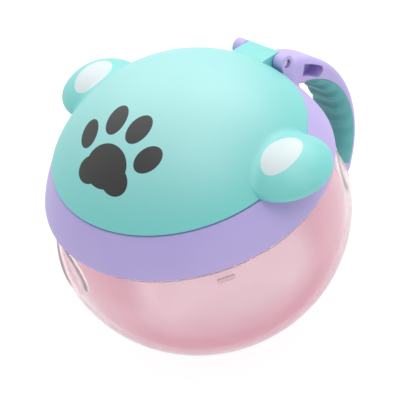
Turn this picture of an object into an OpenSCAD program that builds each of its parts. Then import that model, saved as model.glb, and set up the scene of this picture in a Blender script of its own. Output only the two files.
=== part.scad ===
// Toddler snack container: a clear ball-shaped bowl, a twist-on collar with a
// handle at its back, soft flaps in its mouth and a domed lid with two ears.
// Millimetres. The origin is the centre of the base, +Z up, +Y towards the
// handle, and +X is the right-hand ear when the front faces -Y.

/* [Bowl] */
// Outer radius of the ball that the bowl follows
bowl_r = 53; // [50:0.5:58]
// Thickness of the bowl's wall
bowl_wall = 2.2; // [1.6:0.1:2.8]
// Radius of the tighter curve that the bowl follows below the ball's middle
belly_r = 48; // [46:0.5:50]
// Radius of the flat base
base_r = 26.3; // [22:0.1:30]
// Thickness of the bowl's floor
floor_t = 2.4; // [1.6:0.1:4]
// Height of the bowl's shoulder above the ball's centre
shoulder_rise = 17.5; // [14:0.1:19]
// Gap between the top of the neck and the collar's outer wall
neck_in = 1.7; // [1.5:0.1:2.6]

/* [Thumb recesses] */
// Radius of the round scoop that makes a recess
scoop_r = 14; // [10:0.5:20]
// Depth of a recess at its middle
scoop_depth = 4.2; // [2:0.1:6]
// Height of a recess's middle above the ball's centre
scoop_rise = 7; // [3:0.5:9]
// Turn of the recesses away from the ears, when the collar is closed
scoop_turn = 59.5; // [0:0.5:180]

/* [Lock mark] */
// Turn of the raised mark on the bowl, towards the front from the right-hand ear
mark_turn = 35; // [20:1:60]
// Height of the mark above the ball's centre
mark_rise = 13.8; // [10:0.1:15]
// Length of the mark
mark_l = 6; // [4:0.5:10]
// Height of the mark from edge to edge
mark_w = 1.4; // [1:0.1:2]
// How far it stands proud of the ball
mark_proud = 0.3; // [0.2:0.05:0.5]

/* [Twist lock] */
// Number of lugs on the neck, and as many in the collar
lug_count = 3; // [2:1:4]
// Length of a lug, as an angle round the neck
lug_span = 34; // [16:1:40]
// Height of a lug
lug_h = 1.8; // [1.2:0.1:2.2]
// How far a lug stands out
lug_out = 1.3; // [1.1:0.1:1.5]
// Distance of the neck's lugs below its top
lug_drop = 3; // [2.4:0.1:4]
// Rise of the lugs in one whole turn
lug_lead = 24; // [12:1:26]

/* [Collar] */
// How far the collar stands proud of the ball
collar_proud = 1.2; // [0.6:0.1:2]
// Thickness of the collar's outer wall
collar_wall = 2; // [1.4:0.1:2.6]
// Height of the collar's top above the ball's centre
collar_rise = 31.3; // [31:0.1:32]
// Thickness of the deck round the mouth
deck_t = 3; // [2:0.1:3.4]
// Thickness of the skirt that carries the lugs
skirt_t = 1.9; // [1.4:0.1:2.2]
// Gap between the neck and the wall round the mouth
mouth_in = 1.9; // [1:0.1:5]
// Thickness of the wall round the mouth
mouth_wall = 1.6; // [1.2:0.1:2]
// Depth of the mouth below the deck's top, down to its ledge
mouth_depth = 5.5; // [5:0.1:7]
// Width of the ledge that the flap ring sits on
ledge_w = 2; // [1.4:0.1:3]
// Thickness of that ledge
ledge_t = 1.4; // [1:0.1:2]

/* [Seal and flaps] */
// Thickness of the ring between neck and collar
seal_t = 1.7; // [1:0.1:2.4]
// How far that ring reaches out past the neck
seal_out = 0.2; // [0:0.1:0.3]
// Thickness of the soft flaps and their ring
flap_t = 1.2; // [0.8:0.1:1.4]
// Number of flaps
flap_count = 6; // [5:1:8]
// Distance of a flap's bend line inside the mouth's edge
flap_in = 8.5; // [7:0.1:12]
// Half of the gap at a flap's bend line
bend_gap = 0.25; // [0.2:0.05:0.5]
// Width of the slits between the flaps
slit_w = 0.5; // [0.4:0.1:1]
// Radius of the round hole that ends each slit at the ring
slit_end_r = 1.2; // [1:0.1:1.6]
// Radius of the round hole where the flaps' tips meet
tip_hole_r = 2.5; // [1.5:0.1:5]
// Gap round the flap ring and the ring above it
insert_gap = 0.1; // [0.05:0.05:0.3]
// Thickness of the ring that holds the flap ring down
retainer_t = 1.6; // [1.2:0.1:1.8]

/* [Lid] */
// How much smaller the lid's dome is than the ball, in radius
lid_less = 0.4; // [0:0.1:2]
// Thickness of the lid's dome
lid_wall = 2; // [1.4:0.1:2.6]
// How far the lid's edge stands over the collar's top edge
lid_over = 0.45; // [0.2:0.05:1]
// Thickness of the lip that drops into the mouth
lip_t = 1.7; // [1.2:0.1:2.2]
// How far the lip's ring reaches up into the lid
lip_root = 4; // [3:0.5:5]
// How far the lip reaches below the lid's edge
lip_drop = 2; // [1:0.1:2.2]
// Radius of an ear
ear_r = 15; // [12:0.1:17]
// Distance of an ear's middle inside the lid's edge
ear_in = 1.9; // [-1:0.1:5]
// Distance of the ears' middles behind the cup's middle
ear_y = 6.5; // [-4:0.1:12]
// Height of the upright rim round an ear
ear_rim = 2; // [1.5:0.1:3]
// Height of the ear's domed top above that rim
ear_rise = 7.6; // [6:0.1:9]
// Thickness of the ears, which are hollow below
ear_wall = 2; // [1.6:0.1:2.2]
// Radius of the hollow blend between an ear and the dome
ear_blend_r = 2; // [1:0.1:3]

/* [Hinge] */
// Radius of the hinge pin
pin_r = 1.2; // [1:0.05:1.5]
// How far the pin's ends stay below the posts' outer faces
pin_inset = 0.8; // [0.4:0.1:1.2]
// How much wider than the pin the recess over its end is, in radius
pin_recess = 0.4; // [0.2:0.1:0.8]
// Radius of the rounded posts and knuckle round the pin
knuckle_r = 3; // [2.5:0.1:3.2]
// Width of the lid's knuckle
knuckle_w = 14; // [10:0.5:16]
// Gap on each side between the knuckle and the posts
knuckle_gap = 0.25; // [0.15:0.05:0.4]
// How far forward of the pin the hinge tab's underside reaches, inside the dome
tab_in = 14; // [12:0.5:16]
// How far forward of the pin the hinge tab's crest is
tab_crest = 8; // [7:0.5:10]
// Height of that crest above the knuckle
tab_rise = 1.6; // [1:0.1:2]
// Width of one hinge post
post_w = 4.3; // [3:0.1:6]
// Distance of the pin behind the lid's edge
pin_back = 0.8; // [0.4:0.1:1.4]
// Height of the pin above the lid's edge
pin_up = 3.2; // [3:0.1:4]

// Gap between the front of the hinge posts and the notch in the lid
notch_gap = 1.4; // [0.8:0.1:2]
// Gap between their outer faces and the notch's ends
notch_side = 0.5; // [0.3:0.1:1]

/* [Handle] */
// Radius of the handle's outer curve
handle_r = 43.4; // [42:0.1:45]
// How far the handle's outermost point stands out from the ball
handle_out = 24.6; // [23.5:0.1:26]
// Depth of the handle curve's centre below the ball's centre
handle_drop = 10.4; // [9.5:0.1:11.5]
// Width of the handle
handle_w = 15; // [14.6:0.1:17]
// Radius of the handle's long edges
handle_edge_r = 3; // [1:0.1:3.4]
// Thickness of the handle, with its grip
handle_t = 9.2; // [8.6:0.1:10]
// Angle of the handle's free end below the level
handle_end = 37; // [30:1:42]
// Angle that the handle's curve runs up to, inside the hinge posts
root_angle = 80; // [76:1:84]
// Depth of a hinge post's foot below the lid's edge
post_deep = 12; // [8:0.5:14]
// Radius of the hollow between a hinge post's back and the handle's side
post_blend_r = 4; // [2:0.1:5]

/* [Grip] */
// Thickness of the spine at its outermost point, behind the grip
spine_t = 3.2; // [2.6:0.1:4]
// How far the curve where the grip meets the spine is centred behind the handle's centre
spine_flare = 7.6; // [6.6:0.1:8.2]
// Depth of that curve's centre below the handle's
grip_out_drop = 1.7; // [1:0.1:2]
// Angle of the grip's lower end below the level
grip_low = 34; // [24:1:35]
// Angle of the grip's upper end above the level
grip_high = 53; // [49:1:54]
// Radius of the grip's long edges
grip_edge_r = 4.8; // [2:0.1:5]
// How far the grip stands proud of the spine on each side
grip_proud = 0.3; // [0.1:0.05:0.5]
// Width of the spine's core inside the grip
core_w = 6; // [4:0.5:8]
// Thickness of the grip over that core
core_cover = 2; // [1.4:0.1:2.6]
// Radius of the core's long edges
core_edge_r = 0.5; // [0.2:0.1:1]
// Angle that the core reaches into the spine below the grip
core_foot = 1; // [0.5:0.5:2]
// Angle that the core stops short of the grip's upper end
core_short = 3; // [1:0.5:6]
// Number of grooves across the grip
groove_count = 7; // [3:1:9]
// Angle left plain at the grip's upper end
groove_margin = 12; // [8:1:16]
// Radius of a groove
groove_r = 3; // [1.5:0.1:4]
// Depth of a groove
groove_depth = 0.7; // [0.3:0.1:0.9]

/* [Side pockets] */
// Width of the web left between the two pockets
pocket_web = 3; // [2:0.5:6]
// Height of a pocket
pocket_h = 4.3; // [3:0.1:4.4]
// Distance of a pocket's middle from the handle's outer curve
pocket_in = 4.2; // [3.8:0.1:4.3]
// Angle of a pocket's round end
pocket_low = 43; // [41:1:46]
// Angle of a pocket's square end
pocket_high = 56.5; // [52:0.5:58]

/* [Fits] */
// Gap between pieces that move past each other
clear = 0.3; // [0.2:0.05:0.4]
// Gap round the hinge pin
pin_clear = 0.05; // [0.02:0.01:0.09]

/* [Hidden] */
flap_names = [for (i = [1:flap_count]) str("flap_", i)];
$fn = 96;

teal = [0.47, 0.82, 0.80];
deep_teal = [0.37, 0.68, 0.69];
lilac = [0.69, 0.63, 0.84];
clear_pink = [0.96, 0.72, 0.79, 0.6];
milky = [0.93, 0.93, 0.95];
steel = [0.75, 0.76, 0.78];

big = 4 * bowl_r;

// Room between the lugs, and round them
lug_gap = clear + 0.1;

// Heights
belly_x = bowl_r - belly_r;
centre_h = sqrt(pow(belly_r, 2) - pow(base_r - belly_x, 2));
shoulder_z = centre_h + shoulder_rise;
collar_low_z = shoulder_z + clear;
collar_top_z = centre_h + collar_rise;
deck_under_z = collar_top_z - deck_t;
neck_top_z = deck_under_z - seal_t;
ledge_z = collar_top_z - mouth_depth;
lid_z = collar_top_z + clear;
neck_lug_z = neck_top_z - lug_drop;
collar_lug_z = neck_lug_z - lug_h - lug_gap;

// Radii
collar_r = bowl_r + collar_proud;
collar_in_r = collar_r - collar_wall;
neck_r = sqrt(pow(collar_in_r, 2) - pow(neck_top_z - centre_h, 2)) - neck_in;
skirt_in_r = neck_r + lug_out + lug_gap;
seal_in_r = neck_r - bowl_wall;
mouth_r = seal_in_r - mouth_in - mouth_wall;
ledge_r = mouth_r - ledge_w;
insert_r = mouth_r - insert_gap;
lip_r = mouth_r - 2 * clear;
flap_root = mouth_r - flap_in;

// The lid's dome: its centre is where its radius and its edge put it
lid_r = bowl_r - lid_less;
lid_edge_r = sqrt(pow(collar_r, 2) - pow(collar_rise, 2)) + lid_over;
dome_z = lid_z - sqrt(pow(lid_r, 2) - pow(lid_edge_r, 2));

// Ears: their lower face, and the ball that a domed top follows
ear_x = lid_edge_r - ear_in;
ear_low_z = lid_z + clear;
cap_r = (pow(ear_r, 2) + pow(ear_rise, 2)) / (2 * ear_rise);
cap_z = ear_low_z + ear_rim + ear_rise - cap_r;

// Hinge
pin_y = lid_edge_r + pin_back;
pin_z = lid_z + pin_up;
post_in_x = knuckle_w / 2 + knuckle_gap;
post_out_x = post_in_x + post_w;

// Handle: the centre of its arcs, and of the curve between spine and grip, from the side
arc_y = bowl_r + handle_out - handle_r;
arc_z = centre_h - handle_drop;
grip_in_r = handle_r - handle_t;
grip_out_r = handle_r - spine_t - spine_flare;
grip_out_y = arc_y + spine_flare;
grip_out_z = arc_z - grip_out_drop;

// --- Helpers ---------------------------------------------------------------

// Turns a shape drawn in XY, and raised along Z, to the side view: X to Y, Y to Z, Z to X
module side_view() {
    rotate(a = 120, v = [1, 1, 1]) children();
}

// A bar along X, through a point of the side view
module side_bar(y, z, r, w) {
    translate([0, y, z]) side_view() cylinder(r = r, h = w, center = true);
}

// Everything between two heights inside a ball of radius r about the height z0
module ball_slice_2d(r, z0, low, high) {
    intersection() {
        translate([0, z0]) circle(r);
        translate([0, low]) square([r + 1, high - low]);
    }
}

// The bowl's profile between two heights, a distance t inside its outer face
module bowl_slice_2d(t, low, high) {
    ball_slice_2d(bowl_r - t, centre_h, centre_h, high);
    translate([belly_x, 0]) ball_slice_2d(belly_r - t, centre_h, low, centre_h);
    translate([0, low]) square([belly_x, high - low]);
}

// A rectangle with its lower left corner at the origin and its right corners rounded
module rounded_right_2d(w, h, r) {
    square([w - r, h]);
    translate([0, r]) square([w, h - 2 * r]);
    translate([w - r, r]) circle(r);
    translate([w - r, h - r]) circle(r);
}

// One lug: a short stretch of ring, tilted so that it rises along the thread
module lug(r_in, r_out, z, turn) {
    rise = atan(lug_lead / (2 * PI * neck_r));
    translate([0, 0, z]) rotate([0, 0, turn]) rotate([rise, 0, 0])
        rotate([0, 0, -lug_span / 2]) rotate_extrude(angle = lug_span)
            translate([r_in, -lug_h / 2]) square([r_out - r_in, lug_h]);
}

module lug_ring(r_in, r_out, z) {
    for (i = [0:lug_count - 1]) lug(r_in, r_out, z, scoop_turn - 90 + i * 360 / lug_count);
}

// --- Bowl ------------------------------------------------------------------

// The two scoops that the thumb recesses follow, wider by a wall on the inside
module scoops(extra) {
    tilt = asin(scoop_rise / bowl_r);
    for (i = [0, 1])
        translate([0, 0, centre_h]) rotate([0, 0, scoop_turn + 180 * i]) rotate([0, -tilt, 0])
            translate([bowl_r + scoop_r - scoop_depth, 0, 0]) rotate([90, 0, 0])
                cylinder(r = scoop_r + extra, h = bowl_r + 2 * extra, center = true);
}

module bowl_outside() {
    difference() {
        rotate_extrude() bowl_slice_2d(0, 0, shoulder_z);
        scoops(0);
    }
    translate([0, 0, centre_h]) cylinder(r = neck_r, h = neck_top_z - centre_h);
}

module bowl_inside() {
    difference() {
        rotate_extrude() bowl_slice_2d(bowl_wall, floor_t, shoulder_z - bowl_wall);
        scoops(bowl_wall);
    }
    translate([0, 0, centre_h]) cylinder(r = seal_in_r, h = big);
}

// A raised bar with round ends, where the collar's turn begins
module lock_mark() {
    half = (mark_l - mark_w) / 2;
    translate([0, 0, centre_h]) rotate([0, -asin(mark_rise / bowl_r), -mark_turn])
        translate([bowl_r - bowl_wall / 2, 0, 0]) side_view()
            linear_extrude(bowl_wall / 2 + mark_proud) {
                square([2 * half, mark_w], center = true);
                for (s = [-1, 1]) translate([s * half, 0]) circle(mark_w / 2);
            }
}

module bowl() {
    color(clear_pink) {
        difference() {
            bowl_outside();
            bowl_inside();
        }
        lock_mark();
        lug_ring(neck_r - bowl_wall / 2, neck_r + lug_out, neck_lug_z);
    }
}

// --- Seal ------------------------------------------------------------------

module bowl_seal() {
    color(milky)
        translate([0, 0, neck_top_z]) difference() {
            cylinder(r = neck_r + seal_out, h = seal_t);
            translate([0, 0, -1]) cylinder(r = seal_in_r, h = seal_t + 2);
        }
}

// --- Collar ----------------------------------------------------------------

module collar_profile_2d() {
    intersection() {
        ball_slice_2d(collar_r, centre_h, collar_low_z, collar_top_z);
        difference() {
            union() {
                // Outer wall
                difference() {
                    square([big, big]);
                    translate([0, centre_h]) circle(collar_in_r);
                }
                // Skirt with the lugs
                translate([skirt_in_r, collar_low_z + clear]) square([skirt_t, big]);
                // Deck
                translate([mouth_r, deck_under_z]) square([big, big]);
                // Wall round the mouth, and its ledge
                translate([mouth_r, ledge_z - ledge_t]) square([mouth_wall, big]);
                translate([ledge_r, ledge_z - ledge_t]) square([ledge_w + mouth_wall, ledge_t]);
            }
            square([ledge_r, big]);
        }
    }
}

module collar() {
    color(lilac) {
        rotate_extrude() collar_profile_2d();
        lug_ring(neck_r + lug_gap, skirt_in_r + skirt_t / 2, collar_lug_z);
    }
}

// --- Flaps and their rings -------------------------------------------------

// The round holes that end the slits, one at each corner between the bend lines
module slit_ends() {
    half = 180 / flap_count;
    for (i = [0:flap_count - 1])
        rotate([0, 0, 90 + half + i * 2 * half]) translate([flap_root / cos(half), 0, -1])
            cylinder(r = slit_end_r, h = flap_t + 2);
}

module flap_ring() {
    half = 180 / flap_count;
    color(milky)
        translate([0, 0, ledge_z]) difference() {
            cylinder(r = insert_r, h = flap_t);
            // Its flat sides face the flaps
            rotate([0, 0, 90 + half]) translate([0, 0, -1]) linear_extrude(flap_t + 2)
                circle((flap_root + bend_gap) / cos(half), $fn = flap_count);
            slit_ends();
        }
}

module flap_retainer() {
    color(milky)
        translate([0, 0, ledge_z + flap_t]) difference() {
            cylinder(r = insert_r, h = retainer_t);
            translate([0, 0, -1]) cylinder(r = ledge_r, h = retainer_t + 2);
        }
}

// One flap: a wedge from its bend line to the tip hole, drawn for +Y and then turned
module flap(i) {
    half = 180 / flap_count;
    root = flap_root - bend_gap;
    side = slit_w / 2 / sin(half);
    color(milky)
        rotate([0, 0, -i * 360 / flap_count]) translate([0, 0, ledge_z]) difference() {
            linear_extrude(flap_t) polygon([
                [0, side],
                [(root - side) * tan(half), root],
                [-(root - side) * tan(half), root]]);
            translate([0, 0, -1]) cylinder(r = tip_hole_r, h = flap_t + 2);
            slit_ends();
        }
}

// --- Lid -------------------------------------------------------------------

// An ear's lobe from a height up, a distance t inside its outer face
module ear_lobe(t, low) {
    intersection() {
        translate([0, 0, cap_z]) sphere(cap_r - t);
        translate([0, 0, low]) cylinder(r = ear_r - t, h = big);
    }
}

// The hollow ring between an ear and the dome, turned about the line through both balls' centres
module ear_blend() {
    d = norm([ear_x, ear_y, cap_z - dome_z]);
    // The blend's circle touches both balls
    u = (pow(d, 2) + pow(lid_r + ear_blend_r, 2) - pow(cap_r + ear_blend_r, 2)) / (2 * d);
    v = sqrt(pow(lid_r + ear_blend_r, 2) - pow(u, 2));
    into_dome = (lid_r - ear_wall / 2) / (lid_r + ear_blend_r);
    into_ear = (cap_r - ear_wall / 2) / (cap_r + ear_blend_r);
    intersection() {
        translate([0, 0, dome_z]) rotate([0, acos((cap_z - dome_z) / d), atan2(ear_y, ear_x)])
            rotate_extrude() difference() {
                polygon([
                    [v * into_dome, u * into_dome],
                    [v, u],
                    [v * into_ear, d + (u - d) * into_ear]]);
                translate([v, u]) circle(ear_blend_r);
            }
        translate([ear_x, ear_y, ear_low_z]) cylinder(r = ear_r, h = big);
    }
}

module ear_solid() {
    translate([ear_x, ear_y, 0]) difference() {
        ear_lobe(0, ear_low_z);
        ear_lobe(ear_wall, 0);
    }
    ear_blend();
}

// What the lid may not fill: its hollow, and the deck below it
module lid_hollow() {
    difference() {
        translate([0, 0, dome_z]) sphere(lid_r - lid_wall);
        // The lip stays
        difference() {
            cylinder(r = lip_r, h = big);
            translate([0, 0, -1]) cylinder(r = lip_r - lip_t, h = big);
        }
    }
}

module knuckle_solid() {
    // The plate's top runs from the dome to the top of the knuckle
    intersection() {
        side_view() linear_extrude(knuckle_w, center = true) polygon([
            [pin_y, pin_z - knuckle_r],
            [pin_y - knuckle_r, pin_z - knuckle_r],
            [pin_y - tab_in, pin_z + knuckle_r - 1],
            [pin_y - tab_crest, pin_z + knuckle_r + tab_rise],
            [pin_y, pin_z + knuckle_r]]);
        translate([-big / 2, 0, lid_z]) cube([big, big, big]);
    }
    side_bar(pin_y, pin_z, knuckle_r, knuckle_w);
}

module lid() {
    color(teal) difference() {
        union() {
            difference() {
                union() {
                    difference() {
                        rotate_extrude() ball_slice_2d(lid_r, dome_z, lid_z, big);
                        // Notch round the hinge posts
                        translate([-post_out_x - notch_side, pin_y - knuckle_r - notch_gap, 0])
                            cube([2 * (post_out_x + notch_side), big, big]);
                    }
                    ear_solid();
                    mirror([1, 0, 0]) ear_solid();
                    knuckle_solid();
                }
                lid_hollow();
            }
            // Lip below the edge
            translate([0, 0, lid_z - lip_drop]) difference() {
                cylinder(r = lip_r, h = lip_drop + lip_root);
                translate([0, 0, -1]) cylinder(r = lip_r - lip_t, h = big);
            }
        }
        side_bar(pin_y, pin_z, pin_r + pin_clear, big);
    }
}

// --- Hinge pin -------------------------------------------------------------

module hinge_pin() {
    color(steel) side_bar(pin_y, pin_z, pin_r, 2 * (post_out_x - pin_inset));
}

// --- Handle ----------------------------------------------------------------

// The outside of the collar, which the handle's root is shaped to
module collar_envelope() {
    intersection() {
        translate([0, 0, centre_h]) sphere(collar_r);
        translate([-big / 2, -big / 2, 0]) cube([big, big, collar_top_z]);
    }
}

// A curved bar about a point of the side view, its edges rounded on the outer side
module outer_bar(r_in, r_out, w, edge, low, high) {
    translate([0, arc_y, arc_z]) side_view() rotate([0, 0, low])
        rotate_extrude(angle = high - low)
            translate([r_in, -w / 2]) rounded_right_2d(r_out - r_in, w, edge);
}

// The same with its edges rounded on the inner side
module inner_bar(r_in, r_out, w, edge, low, high) {
    translate([0, arc_y, arc_z]) side_view() rotate([0, 0, low])
        rotate_extrude(angle = high - low)
            translate([r_out, w / 2]) rotate([0, 0, 180]) rounded_right_2d(r_out - r_in, w, edge);
}

// The rounded free end of the handle
module handle_tip() {
    tip_r = (handle_r - grip_in_r) / 2;
    translate([0, arc_y, arc_z]) side_view() rotate([0, 0, -handle_end])
        translate([grip_in_r + tip_r, 0, 0]) rotate_extrude() intersection() {
            translate([0, -handle_w / 2]) rounded_right_2d(tip_r, handle_w, handle_edge_r);
            translate([0, -handle_w]) square(2 * handle_w);
        }
}

// Where the grip takes the place of the spine
module grip_zone() {
    intersection() {
        side_bar(grip_out_y, grip_out_z, grip_out_r, big);
        outer_bar(grip_in_r / 2, handle_r, big, 1, -grip_low, grip_high);
    }
}

// A hollow in each side of the handle, with one square and one round end
module pockets() {
    mid_r = handle_r - pocket_in;
    for (s = [0, 1]) mirror([s, 0, 0])
        translate([pocket_web / 2, arc_y, arc_z]) side_view() rotate([0, 0, pocket_low]) {
            rotate_extrude(angle = pocket_high - pocket_low)
                translate([mid_r - pocket_h / 2, 0]) square([pocket_h, handle_w]);
            translate([mid_r, 0, 0]) cylinder(r = pocket_h / 2, h = handle_w);
        }
}

// One hinge post, and the hollow gusset from its back to the side of the handle
module post() {
    post_h = pin_up + post_deep;
    blend_y = knuckle_r + post_blend_r;
    translate([post_in_x, pin_y, pin_z]) side_view() {
        cylinder(r = knuckle_r, h = post_w);
        translate([-knuckle_r, -post_h, 0]) cube([2 * knuckle_r, post_h, post_w]);
    }
    intersection() {
        outer_bar(grip_in_r, handle_r - handle_edge_r, big, 1, grip_high, root_angle);
        translate([0, pin_y, arc_z]) difference() {
            cube([post_out_x, blend_y, handle_r]);
            translate([handle_w / 2 + post_blend_r, blend_y, -1]) cylinder(r = post_blend_r, h = big);
        }
    }
}

module spine_solid() {
    difference() {
        union() {
            outer_bar(grip_in_r, handle_r, handle_w, handle_edge_r, -handle_end, root_angle);
            handle_tip();
            post();
            mirror([1, 0, 0]) post();
        }
        grip_zone();
        // Room for the collar, for the knuckle and for the lid's edge
        collar_envelope();
        translate([-post_in_x, 0, lid_z - clear]) cube([2 * post_in_x, big, big]);
        translate([-big / 2, 0, lid_z - clear]) cube([big, pin_y - knuckle_r, big]);
    }
}

// The rib that the grip is moulded round
module spine_core() {
    outer_bar(grip_in_r + core_cover, handle_r - spine_t / 2, core_w, core_edge_r,
              -grip_low - core_foot, grip_high - core_short);
}

module handle() {
    color(lilac) difference() {
        union() {
            spine_solid();
            spine_core();
        }
        pockets();
        side_bar(pin_y, pin_z, pin_r, big);
        // Recess over the pin's end
        for (s = [-1, 1]) translate([s * post_out_x, 0, 0])
            side_bar(pin_y, pin_z, pin_r + pin_recess, 2 * pin_inset);
    }
}

module handle_grip() {
    grip_w = handle_w + 2 * grip_proud;
    groove_step = (grip_low + grip_high - groove_margin) / groove_count;
    color(deep_teal) difference() {
        intersection() {
            inner_bar(grip_in_r, handle_r, grip_w, grip_edge_r, -grip_low, grip_high);
            grip_zone();
        }
        spine_core();
        collar_envelope();
        for (i = [1:groove_count])
            translate([0, arc_y, arc_z]) side_view() rotate([0, 0, i * groove_step - grip_low])
                translate([grip_in_r - groove_r + groove_depth, 0, 0])
                    cylinder(r = groove_r, h = big, center = true);
    }
}

// --- The parts -------------------------------------------------------------

bowl();
bowl_seal();
collar();
handle();
handle_grip();
lid();
hinge_pin();
flap_ring();
flap_retainer();
for (i = [0:flap_count - 1])
    flap(i);
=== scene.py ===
# The toddler snack container: the looks of its pieces, in metres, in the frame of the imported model.
# The base stands at z = 0, the front faces -Y and the handle is at the back, at +Y.
import bpy
import numpy as np
from mathutils import Matrix, Vector


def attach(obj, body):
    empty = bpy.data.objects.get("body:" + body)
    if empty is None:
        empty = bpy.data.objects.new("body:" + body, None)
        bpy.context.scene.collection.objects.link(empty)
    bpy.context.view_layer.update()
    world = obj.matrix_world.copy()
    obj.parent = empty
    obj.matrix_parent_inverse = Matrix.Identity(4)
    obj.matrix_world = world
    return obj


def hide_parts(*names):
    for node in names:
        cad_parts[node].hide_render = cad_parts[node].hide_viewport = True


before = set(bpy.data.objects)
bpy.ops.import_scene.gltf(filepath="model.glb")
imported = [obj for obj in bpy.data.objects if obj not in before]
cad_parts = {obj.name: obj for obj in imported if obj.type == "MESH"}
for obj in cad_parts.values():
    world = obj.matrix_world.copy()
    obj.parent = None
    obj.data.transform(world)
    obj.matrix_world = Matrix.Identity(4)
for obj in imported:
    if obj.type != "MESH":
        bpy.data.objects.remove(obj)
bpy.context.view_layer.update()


# --- Bowl ---------------------------------------------------------------------------------
# The bowl is one injection moulding of clear pink plastic: a ball with a flat base, a stepped
# neck for the collar and two thumb recesses. Its walls are surfaces of revolution, and the
# recesses are cut into both walls by a round cylinder lying along the wall.

MM = 0.001
BALL_R = 53 * MM
BELLY_R = 48 * MM
BASE_R = 26.3 * MM
BOWL_WALL = 2.2 * MM
FLOOR_T = 2.4 * MM
BELLY_X = BALL_R - BELLY_R
CENTRE_Z = (BELLY_R ** 2 - (BASE_R - BELLY_X) ** 2) ** 0.5
SHOULDER_Z = CENTRE_Z + 17.5 * MM
NECK_R = 43.2 * MM
NECK_TOP_Z = CENTRE_Z + 26.6 * MM
SCOOP_R = 14 * MM
SCOOP_DEPTH = 4.2 * MM
SCOOP_RISE = 7 * MM
SCOOP_TURN = np.radians(59.5)


def arc(centre, radius, start, end, count):
    """Points of a circle in a plane: the centre plus the radius times (cos a, sin a), a in degrees."""
    a = np.radians(np.linspace(start, end, count))
    return np.column_stack([centre[0] + radius * np.cos(a), centre[1] + radius * np.sin(a)])


def rounded(corners, radii, count=6):
    """A path of straight runs whose corners are rounded: each corner gives way to the arc of its
    own radius that touches both of its runs, at the distance radius / tan(half the corner)."""
    corners = np.asarray(corners, float)
    path = []
    for i, (corner, radius) in enumerate(zip(corners, radii)):
        if radius == 0 or i in (0, len(corners) - 1):
            path.append(corner[None])
            continue
        back = corners[i - 1] - corner
        ahead = corners[i + 1] - corner
        back, ahead = back / np.linalg.norm(back), ahead / np.linalg.norm(ahead)
        half = np.arccos(np.clip(back @ ahead, -1, 1)) / 2
        middle = corner + (back + ahead) / np.linalg.norm(back + ahead) * radius / np.sin(half)
        first = corner + back * radius / np.tan(half)
        last = corner + ahead * radius / np.tan(half)
        a0 = np.arctan2(*(first - middle)[::-1])
        turn = np.arctan2(*(last - middle)[::-1]) - a0
        turn = (turn + np.pi) % (2 * np.pi) - np.pi
        a = a0 + turn * np.linspace(0, 1, count)
        path.append(middle + radius * np.column_stack([np.cos(a), np.sin(a)]))
    return np.vstack(path)


def refined(path, step):
    """The same path with points added on its longer runs, so that no run is longer than the step."""
    runs = np.linalg.norm(np.diff(path, axis=0), axis=1)
    pieces = [a + (b - a) * np.linspace(0, 1, max(int(np.ceil(r / step)), 1), endpoint=False)[:, None]
              for a, b, r in zip(path[:-1], path[1:], runs)]
    return np.vstack(pieces + [path[-1:]])


def smaller(a, b, blend):
    """The smaller of two values. Where they differ by less than the blend the change-over is round:
    it lies lower by (blend - difference) squared / (4 blend)."""
    near = np.clip(blend - np.abs(a - b), 0, None)
    return np.minimum(a, b) - near ** 2 / (4 * blend)


def larger(a, b, blend):
    """The larger of two values, with the same round change-over."""
    return -smaller(-a, -b, blend)


def step_up(x, low, high):
    """0 below low, 1 above high, and the cubic 3t squared - 2t cubed between them."""
    t = np.clip((x - low) / (high - low), 0, 1)
    return t * t * (3 - 2 * t)


def skin(name, body, *grids):
    """One closed mesh from grids of points, each (rows, columns, 3). A grid's neighbours in both
    directions make its faces, and points that fall together, at seams and poles, become one."""
    points, faces, start = [], [], 0
    for grid in grids:
        rows, columns = grid.shape[:2]
        index = np.arange(rows * columns).reshape(rows, columns) + start
        quads = np.stack([index[:-1, :-1], index[1:, :-1], index[1:, 1:], index[:-1, 1:]], -1)
        faces.append(quads.reshape(-1, 4))
        points.append(grid.reshape(-1, 3))
        start += rows * columns
    points, faces = np.vstack(points), np.vstack(faces)
    keys = np.round(points / 2e-7).astype(np.int64)
    first, same = np.unique(keys, axis=0, return_index=True, return_inverse=True)[1:]
    points, faces = points[first], same.reshape(-1)[faces]
    turned = np.roll(faces, -1, axis=1)
    sides = (faces != turned).sum(axis=1)
    whole = faces[sides == 4]
    short = faces[sides == 3]
    keep = short != np.roll(short, -1, axis=1)
    triangles = short[keep].reshape(-1, 3)
    mesh = bpy.data.meshes.new(name)
    mesh.from_pydata(points.tolist(), [], whole.tolist() + triangles.tolist())
    mesh.validate()
    corners = np.vstack([whole[:, [0, 1, 2]], whole[:, [0, 2, 3]], triangles])
    a, b, c = (points[corners[:, k]] for k in range(3))
    volume = np.einsum("ij,ij->i", a, np.cross(b, c)).sum()
    if volume < 0:
        mesh.flip_normals()
    mesh.shade_smooth()
    mesh.set_sharp_from_angle(angle=np.radians(38))
    piece = bpy.data.objects.new(name, mesh)
    bpy.context.scene.collection.objects.link(piece)
    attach(piece, body)
    return piece


def around(path):
    """A path of (radius, height) carried round the Z axis: (r cos t, r sin t, z)."""
    t = np.linspace(0, 2 * np.pi, 301)
    t[-1] = 0
    r, z = path[:, 0][:, None], path[:, 1][:, None]
    return np.stack([r * np.cos(t), r * np.sin(t), z + 0 * t], -1)


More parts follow.
